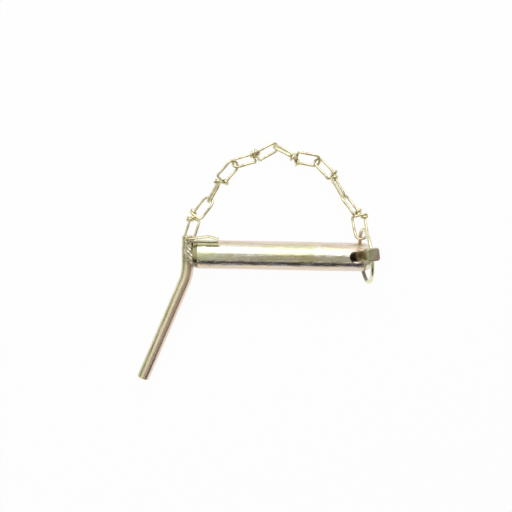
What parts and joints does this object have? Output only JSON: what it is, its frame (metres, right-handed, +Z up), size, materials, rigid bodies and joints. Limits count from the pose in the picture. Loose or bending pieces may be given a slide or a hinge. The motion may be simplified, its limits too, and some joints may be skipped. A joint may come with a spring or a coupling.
{
  "type": "top link pin",
  "caption": "Round top link pin with a bent welded handle, a linch pin with a spring ring through its nose, and a knotted wire chain that keeps the two together.",
  "frame": {"origin": "centre of the bar's welded end face, on the bar's axis", "axes": "+X along the bar towards its nose, +Z up from the surface that the pin lies on, +Y towards the chain"},
  "size_m": [0.2041, 0.2136, 0.0521],
  "materials": {
    "bar_zinc": "bright yellow-passivated zinc plate on a turned bar",
    "rod_zinc": "yellow-passivated zinc plate on drawn rod",
    "wire_zinc": "yellow-passivated zinc plate on wire",
    "weld": "rough plated weld",
    "linch_zinc": "yellow-passivated zinc plate on a forging",
    "spring_zinc": "yellow-passivated zinc plate on spring wire"
  },
  "bodies": {
    "pin": {"bar": "bar_zinc", "handle_rod": "rod_zinc", "split_pin": "wire_zinc", "weld_bead_front": "weld", "weld_bead_back": "weld"},
    "chain_link_1": {"chain_link_1": "wire_zinc"},
    "chain_link_2": {"chain_link_2": "wire_zinc"},
    "chain_link_3": {"chain_link_3": "wire_zinc"},
    "chain_link_4": {"chain_link_4": "wire_zinc"},
    "chain_link_5": {"chain_link_5": "wire_zinc"},
    "chain_link_6": {"chain_link_6": "wire_zinc"},
    "linch_pin": {"linch_pin": "linch_zinc"},
    "spring_ring": {"spring_ring": "spring_zinc"}
  },
  "joints": [
    {"name": "chain_swing", "type": "hinge", "parent": "pin", "child": "chain_link_1", "pos_m": [-0.006, 0.01294, -0.00899], "axis": [0.9946, 0.0681, 0.079], "range_deg": [0, 20]},
    {"name": "link_2_turn", "type": "hinge", "parent": "chain_link_1", "child": "chain_link_2", "pos_m": [0.01176, 0.04855, -0.00975], "axis": [0, 0, 1], "range_deg": [-1.5, 0.1]},
    {"name": "link_3_turn", "type": "hinge", "parent": "chain_link_2", "child": "chain_link_3", "pos_m": [0.03372, 0.08174, -0.01003], "axis": [0, 0, 1], "range_deg": [-4.9, 0.1]},
    {"name": "link_4_turn", "type": "hinge", "parent": "chain_link_3", "child": "chain_link_4", "pos_m": [0.07022, 0.09761, -0.01003], "axis": [0, 0, 1], "range_deg": [-0.1, 3.2]},
    {"name": "link_5_turn", "type": "hinge", "parent": "chain_link_4", "child": "chain_link_5", "pos_m": [0.10807, 0.08531, -0.00954], "axis": [0, 0, 1], "range_deg": [-0.1, 11.5]},
    {"name": "link_6_turn", "type": "hinge", "parent": "chain_link_5", "child": "chain_link_6", "pos_m": [0.13132, 0.05332, -0.00511], "axis": [0, 0, 1], "range_deg": [-0.1, 6.8]},
    {"name": "linch_slide", "type": "slide", "parent": "pin", "child": "linch_pin", "axis": [0.0976, 0.0452, 0.9942], "range_m": [-0.005, 0]},
    {"name": "ring_swing", "type": "hinge", "parent": "linch_pin", "child": "spring_ring", "pos_m": [0.14872, 0.00192, 0.0298], "axis": [0.1213, -0.9921, 0.0331], "range_deg": [0, 30]}
  ],
  "couplings": [
    {"joint": "link_2_turn", "follows": "ring_swing", "ratio": -0.0473},
    {"joint": "link_3_turn", "follows": "ring_swing", "ratio": -0.162},
    {"joint": "link_4_turn", "follows": "ring_swing", "ratio": 0.1056},
    {"joint": "link_5_turn", "follows": "ring_swing", "ratio": 0.3803},
    {"joint": "link_6_turn", "follows": "ring_swing", "ratio": 0.2266}
  ]
}
